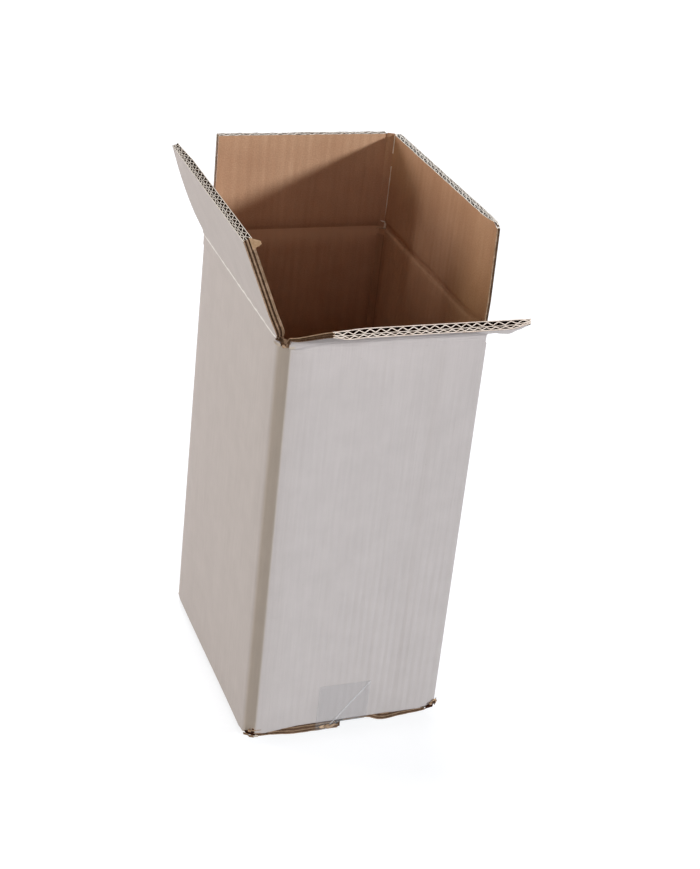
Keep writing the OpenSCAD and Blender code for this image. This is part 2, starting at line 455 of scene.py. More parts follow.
def fold_base_flap(bm, side, foot, radius, steps, level):
    """Spins the lower edge of a wall round its base fold and grows the flap from it."""
    place = to_side(side)
    back = place.inverted()

    def on_edge(vert):
        spot = back @ vert.co
        inside = abs(spot.x) < half_run(side) + 0.1 * MM
        return inside and abs(spot.y) < 2 * MM and abs(spot.z - fold_foot) < 0.1 * MM

    row = [e for e in bm.edges if all(on_edge(v) for v in e.verts)]
    turned = bmesh.ops.spin(
        bm, geom=row, cent=place @ Vector((0, radius, foot + radius)),
        axis=place.to_3x3() @ Vector((1, 0, 0)), angle=math.radians(90), steps=5)["geom_last"]
    row = [g for g in turned if isinstance(g, bmesh.types.BMEdge)]
    rows = []
    for low, high in zip(steps, steps[1:]):
        move = place.to_3x3() @ Vector((0, high - low, level(high) - level(low)))
        row, verts = grow(bm, row, move)
        rows.append((high, verts))
    return rows


print("sag of the outer flaps:", [round(outer_sag(d * MM) / MM, 1) for d in (2, 12, 24, 46)])

# %% [markdown]
# On the real box the outer base flaps have slipped forward. Their front edges are moved out by a reach and
# up by a lift, each of which depends on the distance from the flap's own wall, and fade out backwards.

# %% Front edges of the base flaps
def bring_forward(rows, reach, lift):
    """Moves an outer base flap's front edge out towards the front wall's face, and lifts it."""
    for d, verts in rows:
        front = min(v.co.y for v in verts)
        for vert in verts:
            vert.co.z += lift(d) * (1 - smooth((vert.co.y - front) / (20 * MM)))
            if vert.co.y < front + 1 * MM:
                vert.co.y -= reach(d)


def left_reach(d):
    return 11 * MM * smooth((d + 4 * MM) / (12 * MM))


def right_reach(d):
    return 15 * MM * smooth((d + 6 * MM) / (14 * MM))


def left_lift(d):
    return 5.0 * MM * smooth((d + 10 * MM) / (45 * MM))


def right_lift(d):
    bulge = 2.6 * MM * smooth((d - 10 * MM) / (25 * MM))
    return 4.0 * MM + bulge + 5.5 * MM * smooth((d - 46 * MM) / (18 * MM))


def bring_corner_forward(bm):
    """Draws the right base flap's front corner out under the corner of the box."""
    for vert in bm.verts:
        if vert.co.x > half_w - 2.6 * MM and vert.co.y < tab_face_y + corner_leg + 0.2 * MM:
            vert.co.y -= 10 * MM * smooth((fold_foot - vert.co.z) / (6 * MM))


def fill_corners(rows):
    """Widens an inner base flap behind the corner strips, so that the base has no holes."""
    for _, verts in rows:
        for vert in verts:
            if abs(vert.co.x) > end_run / 2 - 0.1 * MM:
                vert.co.x = math.copysign(half_w - board_t - 0.3 * MM, vert.co.x)


print("lift of the left edge:", [round(left_lift(d * MM) / MM, 1) for d in (2, 12, 24, 46)])

# %% [markdown]
# The short strips that stand between the slots at each corner are grown a little further, up to the
# creases and down to the base folds. `trim_tab` slants the ends of the glue tab.

# %% Corner strips and tab
end_rise = 5 * MM
corner_foot = 8.4 * MM


def is_corner(vert):
    x, y = abs(vert.co.x), abs(vert.co.y)
    if vert.co.x > 0 and vert.co.y < 0:
        return False
    return x > end_run / 2 - 0.1 * MM and y > side_run / 2 - 0.1 * MM


def corner_height(vert):
    """Torn top of a corner strip, between the creases on its two sides."""
    t = smooth((half_w - abs(vert.co.x)) / corner_leg)
    high = (1 - t) * (side_crease_h - 2.5 * MM) + t * (end_crease_h + end_rise - 1.5 * MM)
    return high + 0.7 * MM * wobble(vert.co.x * 160, vert.co.y * 160, 3.0)


def finish_corners(bm, top_row):
    row = [e for e in top_row if all(is_corner(v) for v in e.verts)]
    _, verts = grow(bm, row, (0, 0, 1 * MM))
    for vert in verts:
        vert.co.z = corner_height(vert)
    low = [e for e in bm.edges if len(e.link_faces) == 1 and all(is_corner(v) for v in e.verts)
           and all(abs(v.co.z - fold_foot) < 0.1 * MM for v in e.verts)]
    _, verts = grow(bm, low, (0, 0, corner_foot - fold_foot))
    for vert in verts:
        vert.co.z += 0.6 * MM * wobble(vert.co.x * 190, vert.co.y * 190, 8.0)


def trim_tab(bm):
    for vert in bm.verts:
        if abs(vert.co.y - tab_face_y) < 0.1 * MM and tab_edge_x - MM < vert.co.x < tab_root_x - MM:
            cut = 8 * MM + 0.7 * (tab_root_x - vert.co.x)
            share = (vert.co.z - fold_foot) / (slot_h - fold_foot)
            vert.co.z = fold_foot + cut + share * (slot_h - fold_foot - 2 * cut)


print("corner strips stand from", round(corner_foot, 4), "to", round(side_crease_h, 4))

# %% [markdown]
# The real box is a little out of square. The front wall's glued end is narrower at the top than at the
# base, its lower edge climbs to the right, and the left wall's far corner splays out at the foot.

# %% Out of square
def climb(x):
    """Rise of the front wall's lower edge from left to right."""
    return 2.0 * MM + 3.8 * MM * smooth((x + half_w - 6 * MM) / (45 * MM))


def out_of_square(bm):
    for vert in bm.verts:
        x, y, z = vert.co
        share = (z - fold_foot) / (slot_h - fold_foot)
        if abs(y + half_d) < 1 * MM and x > half_w - 8 * MM:
            vert.co.x += (1.5 - 3.6 * share) * MM
        if x < 0:
            far = smooth((y + half_d) / (2 * half_d)) * -x / half_w
            vert.co.x += (-2.6 + 3.4 * share) * MM * far
        if layer_step - 0.5 * MM < z < 0.1:
            near = 1 - smooth((y + half_d) / (14 * MM))
            vert.co.z += climb(x) * near * (1 - smooth((z - layer_step) / (0.1 - layer_step)))


print("front edge climbs from", round(climb(-half_w) / MM, 1), "to", round(climb(half_w) / MM, 1), "mm")

# %% [markdown]
# Every piece ends in the same few steps. It gets a UV map from the places that its points had in the flat
# sheet, becomes an object, and is thickened. Solidify could stay live, but applying it lets the later
# cells give single faces another paper.

# %% Finish helpers
def lay_flat_uv(bm, across, up):
    """UV map of the flat sheet in metres."""
    uv = bm.loops.layers.uv.new("sheet")
    for face in bm.faces:
        for loop in face.loops:
            loop[uv].uv = (loop.vert[across], loop.vert[up])


def mesh_object(name, bm, materials):
    mesh = bpy.data.meshes.new(name)
    bm.to_mesh(mesh)
    bm.free()
    for mat in materials:
        mesh.materials.append(mat)
    obj = bpy.data.objects.new(name, mesh)
    bpy.context.collection.objects.link(obj)
    return obj


def thicken(obj, thickness, offset, back=0, rim=0, sharp=32, even=False):
    """Gives a sheet its thickness with Solidify, applies it and marks the sharp edges."""
    mod = obj.modifiers.new("board", "SOLIDIFY")
    mod.thickness = thickness
    mod.offset = offset
    mod.use_even_offset = even
    mod.material_offset = back
    mod.material_offset_rim = rim
    bpy.context.view_layer.update()
    deps = bpy.context.evaluated_depsgraph_get()
    mesh = bpy.data.meshes.new_from_object(obj.evaluated_get(deps))
    old = obj.data
    obj.modifiers.clear()
    obj.data = mesh
    bpy.data.meshes.remove(old)
    mesh.polygons.foreach_set("use_smooth", [True] * len(mesh.polygons))
    mesh.set_sharp_from_angle(angle=math.radians(sharp))
    return obj


def face_out(bm, spot, outward):
    """Makes all faces agree, with the one nearest a spot facing outwards."""
    bmesh.ops.recalc_face_normals(bm, faces=bm.faces)
    near = min(bm.faces, key=lambda f: (f.calc_center_median() - spot).length)
    if near.normal.dot(outward) < 0:
        bmesh.ops.reverse_faces(bm, faces=bm.faces)


print("finish helpers ready")

# %% [markdown]
# The upright edges of the corner strips get a wide, soft bevel towards the side walls, and a narrow one
# towards the front and back, because the press bent them so.

# %% Build the sheet
wall_rows = 14
outer_rows = [outer_fold_r] + [d * MM for d in (8, 15, 22, 30, 38, 46, 56, 66, 75)] + [half_w]
inner_rows = [inner_fold_r, 11 * MM, half_w + layer_step]
CARTON_PAPERS = [white, brown, cut_edge, crushed_paper]


def soften_corners(bm):
    soft, crisp = [], []
    for edge in bm.edges:
        a, b = (v.co for v in edge.verts)
        if len(edge.link_faces) == 2 and abs(a.z - b.z) > 1 * MM and abs(a.x - b.x) < 1 * MM:
            if edge.calc_face_angle(0) > 0.4 and a.z > 5 * MM:
                (soft if abs(a.x) > half_w - 2.5 * MM else crisp).append(edge)
    bmesh.ops.bevel(bm, geom=soft, offset=2.9 * MM, segments=5, profile=0.5, affect="EDGES", material=-1)
    crisp = [e for e in crisp if e.is_valid]
    bmesh.ops.bevel(bm, geom=crisp, offset=0.8 * MM, segments=2, profile=0.5, affect="EDGES", material=-1)
    return len(soft), len(crisp)


def build_carton():
    bm = bmesh.new()
    row = wall_chain(bm)
    along = bm.verts.layers.float["along"]
    height = bm.verts.layers.float.new("height")
    for _ in range(wall_rows):
        row, _ = grow(bm, row, (0, 0, (slot_h - fold_foot) / wall_rows))
    outer_foot = outer_sag(outer_fold_r)
    left = fold_base_flap(bm, "left", outer_foot, outer_fold_r, outer_rows, outer_sag)
    right = fold_base_flap(bm, "right", outer_foot, outer_fold_r, outer_rows, outer_sag)
    for side in ENDS:
        fill_corners(fold_base_flap(bm, side, layer_step, inner_fold_r, inner_rows, lambda d: layer_step))
    finish_corners(bm, row)
    trim_tab(bm)
    out_of_square(bm)
    bring_forward(left, left_reach, left_lift)
    bring_forward(right, right_reach, right_lift)
    bring_corner_forward(bm)
    for vert in bm.verts:
        inward = min(half_w - abs(vert.co.x), half_d - abs(vert.co.y))
        vert[height] = vert.co.z - max(0.0, inward)
    lay_flat_uv(bm, along, height)
    face_out(bm, Vector((0, -half_d, 0.2)), Vector((0, -1, 0)))
    print("corner edges softened:", soften_corners(bm))
    obj = mesh_object("carton_sheet", bm, CARTON_PAPERS)
    rim = CARTON_PAPERS.index(cut_edge)
    thicken(obj, board_t, -1, back=CARTON_PAPERS.index(brown), rim=rim, even=True)
    for face in obj.data.polygons:
        if face.material_index == rim and face.center.z < 25 * MM and face.normal.y < -0.4:
            face.material_index = CARTON_PAPERS.index(crushed_paper)
    return obj


carton = build_carton()
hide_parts("carton")
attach(carton, "carton")
print(carton.name, len(carton.data.polygons), "faces")

# %% [markdown]
# The front edges of the outer base flaps show under the front wall. Their flat papers stand out as thin
# ragged lines, with dark, crushed waves between them, so three narrow ribbons are laid along each edge.

# %% Ribbons along the base edges
def edge_ribbon(bm, share, x_at, y_at, z_at):
    steps = [d * MM for d in range(4, 84, 3)]
    chain = []
    for d in steps:
        out = 0.5 * MM * wobble(d * 150, share * 9, 7.0)
        chain.append(bm.verts.new((x_at(d), y_at(d) + 0.4 * MM - out, z_at(d) + share * board_t)))
    row = join_points(bm, chain)
    grow(bm, row, (0, -1.1 * MM, 0))


def build_base_edges():
    bm = bmesh.new()
    for share in (0.05, 0.45, 0.93):
        edge_ribbon(bm, share, lambda d: d - half_w, lambda d: -side_run / 2 - left_reach(d),
                    lambda d: outer_sag(d) + left_lift(d))
        edge_ribbon(bm, share, lambda d: half_w - d, lambda d: tab_face_y + corner_leg - right_reach(d),
                    lambda d: outer_sag(d) + right_lift(d))
    bmesh.ops.recalc_face_normals(bm, faces=bm.faces)
    obj = mesh_object("base_edge_papers", bm, [cut_edge])
    return thicken(obj, 0.45 * MM, 0)


base_edges = build_base_edges()
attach(base_edges, "carton")
print(base_edges.name, len(base_edges.data.polygons), "faces")

# %% [markdown]
# Where the slots end, and at the foot of the front corners, the board is torn, and small bits of paper
# stand up. The near-black bits at the feet of the front corners are painted shade for the dark gaps there,
# and the bright bit at the back is painted light. Each bit is a five-sided scrap with its middle pushed up
# and its edge bent unevenly. The table gives its place and size in millimetres, the way that it faces and
# its paper.

# %% Torn bits
def torn_bit(bm, spot, size, face_way, seed, paper):
    ring = bmesh.ops.create_circle(bm, cap_ends=True, segments=5, radius=size)["verts"]
    bent = bmesh.ops.poke(bm, faces=ring[0].link_faces)
    verts = {v for f in bent["faces"] for v in f.verts}
    for vert in verts:
        vert.co *= 1 + 0.7 * wobble(vert.co.x * 900, vert.co.y * 900, seed)
        vert.co.x *= 1.5
        vert.co.y *= 0.6
        vert.co.z += 0.3 * size * wobble(vert.co.x * 500, vert.co.y * 500, seed + 4)
    turn = Vector(face_way).to_track_quat("Z", "Y").to_matrix().to_4x4()
    bmesh.ops.transform(bm, matrix=Matrix.Translation(spot) @ turn, verts=list(verts))
    for face in bent["faces"]:
        face.material_index = BIT_PAPERS.index(paper)


BIT_PAPERS = [white, torn_paper, cut_edge, crushed_paper, painted_shade_black, painted_light_edge]
TORN_BITS = [
    ((-83.0, -105.5, 364.5), 2.6, (-1, -0.5, 0.6), white),
    ((-80.5, -107.5, 365.0), 2.4, (-1, -1, 0.5), crushed_paper),
    ((-77.5, -109.8, 364.5), 2.6, (-0.3, -1, 0.8), cut_edge),
    # Painted light: this bit takes the bright paper.
    ((75.8, 101.6, 371.0), 1.5, (-0.8, -1, 0.2), painted_light_edge),
    # Painted shade: two near-black bits for the dark gap at the left foot.
    ((-80.3, -107.4, 11.4), 2.6, (-1, -1, 0.1), painted_shade_black),
    ((-77.2, -110.0, 11.0), 2.2, (-0.8, -1, 0.1), painted_shade_black),
    ((-81.0, -106.6, 8.8), 2.2, (-1, -1, -0.2), cut_edge),
    ((-77.4, -110.0, 8.8), 2.2, (-0.6, -1, -0.1), cut_edge),
    ((-79.4, -108.6, 13.4), 1.0, (-1, -1, 0.3), torn_paper),
    ((-74.5, -111.8, 10.0), 1.6, (-0.2, -1, 0.2), white),
    # Painted shade: a near-black bit for the dark gap at the right foot.
    ((80.0, -111.7, 15.0), 3.0, (0.1, -1, 0.1), painted_shade_black),
    ((82.6, -111.6, 18.0), 3.2, (0.3, -1, 0.2), cut_edge),
    ((85.2, -110.6, 18.6), 2.6, (0.9, -0.7, 0.3), crushed_paper),
    ((83.6, -111.9, 20.8), 1.6, (0.4, -1, 0.4), torn_paper),
    ((-15.0, -111.2, 8.6), 3.4, (0, -1, 0.1), torn_paper),
    ((-10.0, -111.4, 8.6), 3.4, (0.1, -1, 0.2), cut_edge),
    ((-6.5, -111.4, 9.4), 2.4, (0.3, -1, 0.2), cut_edge),
    ((-12.5, -111.9, 10.6), 1.4, (0, -1, 0.4), cut_edge),
]


def build_torn_bits():
    bm = bmesh.new()
    for seed, (spot, size, way, paper) in enumerate(TORN_BITS):
        torn_bit(bm, Vector(spot) * MM, size * MM, way, seed * 3.7 + 1.3, paper)
    obj = mesh_object("torn_bits", bm, BIT_PAPERS)
    return thicken(obj, 0.4 * MM, 0, sharp=10)


torn_bits = build_torn_bits()
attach(torn_bits, "carton")
print(torn_bits.name, len(torn_bits.data.polygons), "faces")

# %% [markdown]
# ## The flaps
# A flap is five papers: the white liner, fine waves, a middle liner, coarse waves and the brown liner.
# Each paper starts as one row of points across the flap, flat or wavy, and is extruded along the flap
# row by row. The waves of this board are nearly triangles. They stop just short of the flap's side
# edges, where a narrow band closes the board, because a slotting knife crushes the edge that it cuts.

# %% Papers of a flap
WAVE_POINTS = 8
FLAT_STEPS = 32
fine_top = liner_t + fine_h


def flat_row(run, depth):
    return [(-run / 2 + run * i / FLAT_STEPS, depth) for i in range(FLAT_STEPS + 1)]


def wavy_row(run, pitch, low, high):
    open_end = 1.4 * MM
    run -= 2 * open_end
    steps = round(run / pitch * WAVE_POINTS)
    mid, reach = (low + high) / 2, (high - low) / 2
    row = []
    for i in range(steps + 1):
        x = -run / 2 + run * i / steps
        swing = math.sin(2 * math.pi * x / pitch)
        row.append((x, mid + reach * (0.2 * swing + 0.8 * math.asin(swing) / (math.pi / 2))))
    return row


def ply_row(name, run):
    """Points of one paper across a flap: place along the crease, and depth from the white face."""
    half = wave_t / 2
    if name == "fine_waves":
        return wavy_row(run, fine_pitch, liner_t + half, fine_top - half)
    if name == "coarse_waves":
        return wavy_row(run, coarse_pitch, fine_top + middle_t + half, board_t - liner_t - half)
    if name in EDGE_BANDS:
        return [(EDGE_BANDS[name] * run / 2 - EDGE_BANDS[name] * dip * MM, board_t * share)
                for share, dip in BAND_SECTION]
    middle_depth = fine_top + middle_t / 2
    return flat_row(run, {"white_face": 0.0, "middle": middle_depth, "brown_face": board_t}[name])


band_t = 0.4 * MM
FLAP_PAPERS = [white, brown, pale_edge, shaded_wave_paper, cut_edge, torn_paper, crushed_paper, painted_shade_black, painted_light_edge]
WHITE, BROWN, PALE, SHADED_WAVE, CUT, TORN, CRUSHED, SHADE_BLACK, PAINTED_LIGHT = range(len(FLAP_PAPERS))
# Paper of the front, paper of the back, thickness and Solidify offset of each ply
PLIES = {
    "white_face": (WHITE, SHADED_WAVE, liner_t, -1),
    "fine_waves": (SHADED_WAVE, SHADED_WAVE, wave_t, 0),
    "middle": (SHADED_WAVE, SHADED_WAVE, middle_t, 0),
    "coarse_waves": (SHADED_WAVE, SHADED_WAVE, wave_t, 0),
    "brown_face": (BROWN, SHADED_WAVE, liner_t, -1),
    "band_plus": (CUT, CUT, band_t, -1),
    "band_minus": (CUT, CUT, band_t, -1),
}
EDGE_BANDS = {"band_plus": 1, "band_minus": -1}
BAND_SECTION = [(0.03, 0.1), (0.10, 0.3), (0.14, 0.9), (0.26, 0.9), (0.32, 0.3), (0.46, 0.2), (0.52, 0.9),
                (0.68, 0.9), (0.74, 0.3), (0.90, 0.2), (0.97, 0.1)]
CHANNELS = ((0.12, 0.29), (0.50, 0.71))
DARK_BANDS = {("front", "band_minus"), ("right", "band_minus")}
print("points of a fine wave row:", len(ply_row("fine_waves", end_run)))

# %% [markdown]
# `crushed` says how much of its thickness the board keeps near the crease, where the press ran. `wear`
# gives each flap the marks of the real one: the left flap bows out at the back, the right flap's front
# edge is crushed thin, and the front flap's ends are squeezed, one at the crease and one at the tip.

# %% Wear of the flaps
def crushed(v):
    return 1.0 - 0.24 * math.exp(-((v / (2.2 * MM)) ** 2))


def wear(side, x, v, run, length, depth):
    """Place of a point across the board after wear, from its place in flat board."""
    half = run / 2
    share = max(0.0, min(1.0, v / length))
    left_end = smooth((-x - half + 24 * MM) / (24 * MM))
    right_end = smooth((x - half + 16 * MM) / (16 * MM))
    if side == "left":
        bow = math.sin(math.pi * share) * smooth((30 * MM - x) / (half + 30 * MM))
        far_end = smooth((-x - half + 45 * MM) / (45 * MM))
        return depth * (1 - 0.24 * far_end * smooth(share * 1.3)) - 1.9 * MM * bow
    if side == "right":
        return depth * (1 - 0.62 * left_end) + (2.2 * share - 1.2) * MM * left_end
    if side == "front":
        above = smooth(v / (6 * MM))
        left_tip = smooth((-x - half + 13 * MM) / (13 * MM))
        keep = (1 - 0.5 * right_end * smooth(share * 1.5)) * (1 - 0.72 * left_end * (1 - share) * above)
        keep *= 1 - 0.4 * left_tip * smooth(share)
        return board_t - (board_t - depth) * keep - 0.8 * MM * left_end * smooth(share)
    return depth


print("thickness left at a crease:", round(crushed(0), 2))

# %% [markdown]
# The outline of a flap is worn too: it is a little wider above the crease than below it, two corners are
# rounded, and the creases that are folded back buckle the white paper into a ridge.

# %% Outline of the flaps
flap_length = flap_top - side_crease_h


def flap_edge(side, x, v, half):
    """Place of a point along the crease: above the crease a flap is a little wider than below it."""
    near = smooth((abs(x) - half + 30 * MM) / (30 * MM))
    share = max(0.0, v) / flap_length
    above = smooth((v + 1.5 * MM) / (1.5 * MM))
    wider = {("front", True): 7.2 * MM - 2.6 * MM * smooth(v / (12 * MM)),
             ("front", False): (5.0 - 5.0 * share) * MM * above,
             ("left", True): (5.0 - 3.4 * share) * MM * above, ("left", False): -1.5 * MM * share,
             ("right", True): 5.5 * MM * above, ("back", True): 2.0 * MM * above}
    extra = wider.get((side, x > 0), 0.0)
    return x + math.copysign(extra * near, x)


def round_off(side, x, v, half, length):
    """Lowers the corners of a flap that are worn round."""
    last = smooth((v - length + 9 * MM) / (9 * MM))
    if side == "right":
        return -3.0 * MM * last * smooth((-x - half + 5 * MM) / (5 * MM)) ** 2
    if side == "front":
        return -2.5 * MM * last * smooth((x - half + 5 * MM) / (5 * MM)) ** 2
    return 0.0


def ridge(side, x, v):
    """Buckled ridge of white paper along a crease that is folded back."""
    if side not in ("left", "front"):
        return 0.0
    height = 0.6 + 0.35 * wobble(x * 90, 0.0, SIDES[side] * 0.1)
    return -height * MM * math.exp(-(((v - 0.6 * MM) / (1.0 * MM)) ** 2))


print("flap length:", round(flap_length, 4))

# %% [markdown]
# The flap is bent at the crease by turning everything above each row a little more. The drawn creases of
# the front and back sit a little above their hinges, where the real box has them.

# %% Bend of a flap
LEAN = {"left": 21.6, "right": 0.0, "front": 62.4, "back": 1.0}
CREASE_ROWS = [v * MM for v in (-2.4, -1.6, -0.8, 0.0, 0.8, 1.6, 2.4, 3.4, 4.6, 6.0, 8.0, 11.0)]
TURNING = [v for v in CREASE_ROWS if v < 3 * MM]


def flap_rows(start, length):
    rows = [start, start * 0.6] if start < -4 * MM else []
    first = CREASE_ROWS[-1]
    return rows + CREASE_ROWS + [first + (length - first) * i / 9 for i in range(1, 10)]


def bend_flap(bm, rows, level, lean):
    """Turns the rows above each crease row by an equal share of the lean."""
    step = math.radians(lean) / len(TURNING)
    hinge = Vector((0, 0, TURNING[0]))
    for n, v in enumerate(TURNING):
        first = rows.index(v)
        above = [vert for vert in bm.verts if vert[level] >= first]
        bmesh.ops.rotate(bm, verts=above, cent=hinge, matrix=Matrix.Rotation(step, 3, "X"))
        if n + 1 < len(TURNING):
            turned = step * (n + 1)
            hinge = hinge + Vector((0, -math.sin(turned), math.cos(turned))) * (TURNING[n + 1] - v)


print("crease rows:", len(CREASE_ROWS))

# %% [markdown]
# Each paper is drawn flat, worn and then bent.

# %% One paper of a flap
def flap_ply(side, name, run, length, start):
    bm = bmesh.new()
    across = bm.verts.layers.float.new("along")
    up = bm.verts.layers.float.new("height")
    deep = bm.verts.layers.float.new("deep")
    level = bm.verts.layers.int.new("level")
    rows = flap_rows(start, length)
    chain = []
    for x, depth in ply_row(name, run):
        vert = bm.verts.new((x, depth, rows[0]))
        vert[across] = x + run_start[side]
        vert[deep] = depth
        chain.append(vert)
    row = join_points(bm, chain)
    for i, (low, high) in enumerate(zip(rows, rows[1:]), 1):
        row, verts = grow(bm, row, (0, 0, high - low))
        for vert in verts:
            vert[level] = i
    for vert in bm.verts:
        x, depth, v = vert.co
        vert[up] = v + side_crease_h
        vert.co.x = flap_edge(side, x, v, run / 2)
        if side == "right" and v < -1 * MM:
            vert.co.x = max(x, -half_d + board_t + glue_t + corner_leg)
        vert.co.y = wear(side, x, v, run, length, depth * crushed(v))
        vert.co.y += wall_sink(side, x) * (1 - smooth(v / (20 * MM)))
        vert.co.z += round_off(side, x, v, run / 2, length)
        if vert[level] == len(rows) - 1:
            vert.co.z += 0.35 * MM * wobble(x * 240, depth * 500, SIDES[side] * 0.07)
        if name == "white_face":
            vert.co.y += ridge(side, x, v)
    bend_flap(bm, rows, level, LEAN[side])
    if side == "front":
        for vert in bm.verts:
            x, v = vert[across] - run_start[side], vert[up] - side_crease_h
            low_end = smooth((-x - run / 2 + 26 * MM) / (26 * MM)) * smooth((v - start) / -start)
            vert.co.z -= 3.4 * MM * low_end * (1 - 0.8 * smooth(v / length))
    lay_flat_uv(bm, across, up)
    return bm


print("flaps lean out by", LEAN)

# %% [markdown]
# The paper is then thickened. The faces that look into the board are wave paper painted near-black as
# shade, and the rim that Solidify adds along the cut edges is pale. Cutting frays the papers of the right
# and back flaps, so they are thicker there. Some rims are crushed dark, and the rims of the left, right
# and back flaps more than 40 mm above the crease take a brighter paper, painted light.

# %% Thickness and papers of a ply
FRAYED_WAVES = {"right": 1.25, "back": 1.9}
FRAYED_FLATS = {"white_face": 1.5, "middle": 2.0, "brown_face": 1.5}
CRUSHED_ENDS = {"right": 2 * MM, "front": 1.2 * MM}
CHANNEL_SHADE_PAPERS = {"left": CRUSHED, "back": CUT}
painted_light_from = 40 * MM


def ply_thickness(side, name):
    thickness = PLIES[name][2]
    if name.endswith("waves"):
        return thickness * FRAYED_WAVES.get(side, 1.0)
    return thickness * FRAYED_FLATS.get(name, 1.0) if side == "right" else thickness


def rim_paper(side, name, paper, along, up):
    """Paper of a thickened face, from its place along the flap and above the crease."""
    if paper in (PALE, SHADED_WAVE) and along < -half_run(side) + CRUSHED_ENDS.get(side, 0.0):
        paper = CUT if name == "brown_face" and paper == PALE else CRUSHED
    if side == "left" and paper == PALE and along > half_run(side) + 0.4 * MM:
        paper = CUT
    # Painted light: the upper rims take the brighter copy of the pale paper.
    if side != "front" and paper == PALE and up > painted_light_from:
        paper = PAINTED_LIGHT
    return paper


def solid_ply(side, name, bm, place):
    bmesh.ops.transform(bm, matrix=place, verts=bm.verts)
    front, back, _, offset = PLIES[name]
    deep = bm.verts.layers.float["deep"]
    way = Vector((0, 1 if name == "brown_face" else -1, 0))
    if name in EDGE_BANDS:
        way = Vector((EDGE_BANDS[name], 0, 0))
    face_out(bm, place @ Vector((way.x, 0, -2 * MM)), place.to_3x3() @ way)
    for face in bm.faces:
        share = sum(v[deep] for v in face.verts) / len(face.verts) / board_t
        # Painted shade: except on the back flap, the band's channels take a darker paper, for the shade in
        # the open waves.
        if name == "band_plus" and any(low < share < high for low, high in CHANNELS):
            face.material_index = CHANNEL_SHADE_PAPERS.get(side, SHADE_BLACK)
        else:
            face.material_index = CRUSHED if (side, name) in DARK_BANDS else front
    obj = mesh_object(f"{side}_{name}", bm, FLAP_PAPERS)
    thicken(obj, ply_thickness(side, name), offset, back=back - front, rim=PALE - front, sharp=50)
    back_to_flap = place.inverted()
    for face in obj.data.polygons:
        spot = back_to_flap @ face.center
        face.material_index = rim_paper(side, name, face.material_index, spot.x, spot.z)
    return obj


print("thickness of the right flap's waves:", round(ply_thickness("right", "fine_waves") / MM, 2), "mm")

# %% [markdown]
# Light doesn't reach far down between the waves. A near-black strip a few millimetres below the cut edge
# closes them off, a sheet of painted shade for the depth between the waves.

# %% Dark strip between the waves
def lean_with_flap(bm, side):
    """Turns a part that is drawn upright to the lean of its flap."""
    turn = Matrix.Rotation(math.radians(LEAN[side]), 3, "X")
    bmesh.ops.rotate(bm, verts=bm.verts, cent=(0, 0, 0), matrix=turn)


CORE_STEPS = 24
core_depth = 4.5 * MM


def painted_shade_core(side, place, run, length):
    """Narrow strip of painted shade inside the board, a few millimetres below the cut edge."""
    bm = bmesh.new()
    across = bm.verts.layers.float.new("along")
    half = run / 2 - 1 * MM
    places = [-half + 2 * half * i / CORE_STEPS for i in range(CORE_STEPS + 1)]
    chain = [bm.verts.new((x, liner_t, length - core_depth)) for x in places]
    grow(bm, join_points(bm, chain), (0, board_t - 2 * liner_t, 0))
    for vert in bm.verts:
        x, depth, v = vert.co
        vert.co.y = wear(side, x, v, run, length, depth)
    lean_with_flap(bm, side)
    lay_flat_uv(bm, across, across)
    bmesh.ops.transform(bm, matrix=place, verts=bm.verts)
    for face in bm.faces:
        face.material_index = SHADE_BLACK
    obj = mesh_object(f"{side}_core", bm, FLAP_PAPERS)
    return [thicken(obj, 0.4 * MM, 0)]


print("papers in a flap:", len(PLIES))

# %% Join and hinge a flap
def join_pieces(name, parts, materials):
    bm = bmesh.new()
    for part in parts:
        bm.from_mesh(part.data)
    for part in parts:
        old = part.data
        bpy.data.objects.remove(part)
        bpy.data.meshes.remove(old)
    return mesh_object(name, bm, materials)


def flap_place(side):
    ends = side in ENDS
    height = end_crease_h + end_rise if ends else side_crease_h
    return to_side(side) @ Matrix.Translation((0, 0, height)), flap_top - height, slot_h - height


def build_flap(side, extras=()):
    place, length, start = flap_place(side)
    run = 2 * half_run(side)
    parts = []
    for name in PLIES:
        bm = flap_ply(side, name, run, length, start)
        parts.append(solid_ply(side, name, bm, place))
    for extra in (painted_shade_core, *extras):
        parts += extra(side, place, run, length)
    obj = join_pieces(f"{side}_flap_board", parts, FLAP_PAPERS)
    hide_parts(f"{side}_flap")
    lean = math.radians(LEAN[side])
    low = place @ Vector((0, 0, start + 0.5 * MM))
    tip = place @ (Vector((0, -math.sin(lean), math.cos(lean))) * 9 * MM)
    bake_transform(obj, "carton", f"{side}_flap", start=low, end=tip)
    return obj


print("flap piece helpers ready")

# %% [markdown]
# Three scraps belong to the flaps. The first is a strip of board that the knife left in the slot beside the
# back flap, still hanging on the flap's edge. It is one folded row of points, grown upwards.

# %% Strip left in a slot
STRIP_STEPS = 16


